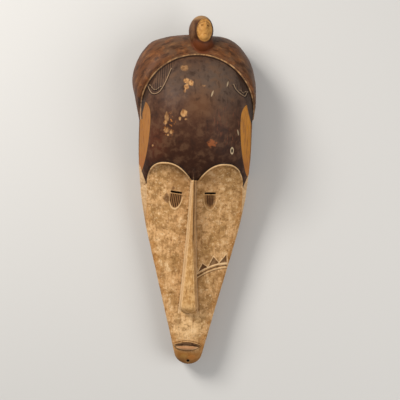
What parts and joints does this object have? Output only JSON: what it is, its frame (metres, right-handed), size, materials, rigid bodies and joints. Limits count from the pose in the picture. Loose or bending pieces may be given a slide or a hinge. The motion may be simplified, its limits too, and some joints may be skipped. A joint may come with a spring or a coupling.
{
  "type": "carved wooden face mask",
  "caption": "Long heart-faced wooden mask with a bulging forehead, lobed hood and small hooded head on the crown, hollow at the back.",
  "frame": {"origin": "middle of the mask's outline, in the plane of its flat back rim, which it lies on", "axes": "+Y from the chin to the crown, +Z out of the face, +X across the face to the viewer's right"},
  "size_m": [0.1958, 0.5434, 0.134],
  "materials": {
    "carved_wood": "matt, with a worn chalky face and a dark patinated forehead and hood"
  },
  "bodies": {
    "root": {"carved_mask": "carved_wood"}
  },
  "joints": []
}
